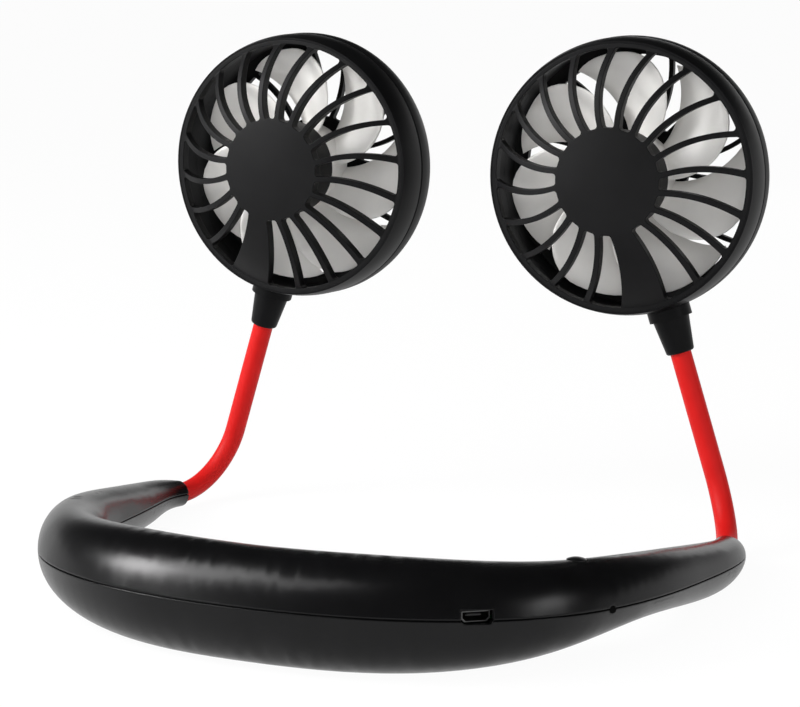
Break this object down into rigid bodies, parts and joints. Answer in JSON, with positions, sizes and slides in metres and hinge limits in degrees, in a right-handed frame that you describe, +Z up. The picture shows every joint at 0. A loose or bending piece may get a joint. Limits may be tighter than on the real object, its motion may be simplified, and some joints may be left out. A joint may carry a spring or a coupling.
{
  "type": "neck fan",
  "caption": "Wearable fan: a horseshoe neck band with bendable red necks that carry round fan heads behind domed spiral grilles, facing the wearer.",
  "frame": {"origin": "on the floor, under the middle of the whole part's bounding box", "axes": "+X to the wearer's right, +Y from the closed back of the band to the fan heads, +Z up"},
  "size_m": [0.1968, 0.1663, 0.1487],
  "materials": {
    "band": "satin, fine grain",
    "head": "satin, fine grain",
    "grille": "satin, fine grain",
    "impeller": "smooth, light grey",
    "sleeve": "silky silicone, red",
    "wire": "drawn",
    "motor": "plain",
    "shaft": "ground",
    "cell": "wrapped",
    "board": "lacquered",
    "switch": "plain",
    "lamp": "clear",
    "socket": "bright",
    "button": "satin"
  },
  "bodies": {
    "band": {"band_upper_shell": "band", "band_lower_shell": "band", "battery_cell": "cell", "control_board": "board", "tact_switch": "switch", "indicator_lamp": "lamp", "usb_socket": "socket", "left_neck_sleeve": "sleeve", "left_neck_wire_base": "wire", "right_neck_sleeve": "sleeve", "right_neck_wire_base": "wire"},
    "button": {"power_button": "button"},
    "left_link_1": {"left_neck_wire_1": "wire"},
    "left_link_2": {"left_neck_wire_2": "wire"},
    "left_link_3": {"left_neck_wire_3": "wire"},
    "left_head": {"left_neck_wire_top": "wire", "left_neck_collar": "head", "left_head_ring": "head", "left_front_grille": "grille", "left_rear_grille": "grille", "left_motor": "motor"},
    "left_rotor": {"left_impeller": "impeller", "left_motor_shaft": "shaft"},
    "right_link_1": {"right_neck_wire_1": "wire"},
    "right_link_2": {"right_neck_wire_2": "wire"},
    "right_link_3": {"right_neck_wire_3": "wire"},
    "right_head": {"right_neck_wire_top": "wire", "right_neck_collar": "head", "right_head_ring": "head", "right_front_grille": "grille", "right_rear_grille": "grille", "right_motor": "motor"},
    "right_rotor": {"right_impeller": "impeller", "right_motor_shaft": "shaft"}
  },
  "joints": [
    {"name": "button_press", "type": "slide", "parent": "band", "child": "button", "axis": [0, -0.0945, -0.9955], "range_m": [0, 0.0006], "stiffness_N_per_m": 800},
    {"name": "left_neck_pitch", "type": "hinge", "parent": "band", "child": "left_link_1", "pos_m": [-0.07906, 0.06737, 0.02411], "axis": [0.9543, -0.0389, -0.2962], "range_deg": [-22.5, 22.5], "deforming": ["left_neck_sleeve"]},
    {"name": "left_neck_sway", "type": "hinge", "parent": "left_link_1", "child": "left_link_2", "pos_m": [-0.07644, 0.0677, 0.03251], "axis": [-0.0262, -0.9986, 0.0468], "range_deg": [-4, 22.5], "deforming": ["left_neck_sleeve"]},
    {"name": "left_neck_pitch_upper", "type": "hinge", "parent": "left_link_2", "child": "left_link_3", "pos_m": [-0.07382, 0.06802, 0.0409], "axis": [0.9543, -0.0389, -0.2962], "range_deg": [-22.5, 22.5], "deforming": ["left_neck_sleeve"]},
    {"name": "left_neck_sway_upper", "type": "hinge", "parent": "left_link_3", "child": "left_head", "pos_m": [-0.0712, 0.06835, 0.0493], "axis": [-0.0262, -0.9986, 0.0468], "range_deg": [-4, 22.5], "deforming": ["left_neck_sleeve"]},
    {"name": "left_fan_spin", "type": "hinge", "parent": "left_head", "child": "left_rotor", "pos_m": [-0.05319, 0.05864, 0.10862], "axis": [-0.0262, -0.9986, 0.0468], "continuous": true},
    {"name": "right_neck_pitch", "type": "hinge", "parent": "band", "child": "right_link_1", "pos_m": [0.07906, 0.06737, 0.02411], "axis": [0.9543, 0.0389, 0.2962], "range_deg": [-22.5, 22.5], "deforming": ["right_neck_sleeve"]},
    {"name": "right_neck_sway", "type": "hinge", "parent": "right_link_1", "child": "right_link_2", "pos_m": [0.07644, 0.0677, 0.03251], "axis": [0.0262, -0.9986, 0.0468], "range_deg": [-22.5, 4], "deforming": ["right_neck_sleeve"]},
    {"name": "right_neck_pitch_upper", "type": "hinge", "parent": "right_link_2", "child": "right_link_3", "pos_m": [0.07382, 0.06802, 0.0409], "axis": [0.9543, 0.0389, 0.2962], "range_deg": [-22.5, 22.5], "deforming": ["right_neck_sleeve"]},
    {"name": "right_neck_sway_upper", "type": "hinge", "parent": "right_link_3", "child": "right_head", "pos_m": [0.0712, 0.06835, 0.0493], "axis": [0.0262, -0.9986, 0.0468], "range_deg": [-22.5, 4], "deforming": ["right_neck_sleeve"]},
    {"name": "right_fan_spin", "type": "hinge", "parent": "right_head", "child": "right_rotor", "pos_m": [0.05319, 0.05864, 0.10862], "axis": [0.0262, -0.9986, 0.0468], "continuous": true}
  ],
  "couplings": [
    {"joint": "left_neck_pitch_upper", "follows": "left_neck_pitch", "ratio": 1},
    {"joint": "left_neck_sway_upper", "follows": "left_neck_sway", "ratio": 1},
    {"joint": "right_neck_pitch_upper", "follows": "right_neck_pitch", "ratio": 1},
    {"joint": "right_neck_sway_upper", "follows": "right_neck_sway", "ratio": 1}
  ]
}
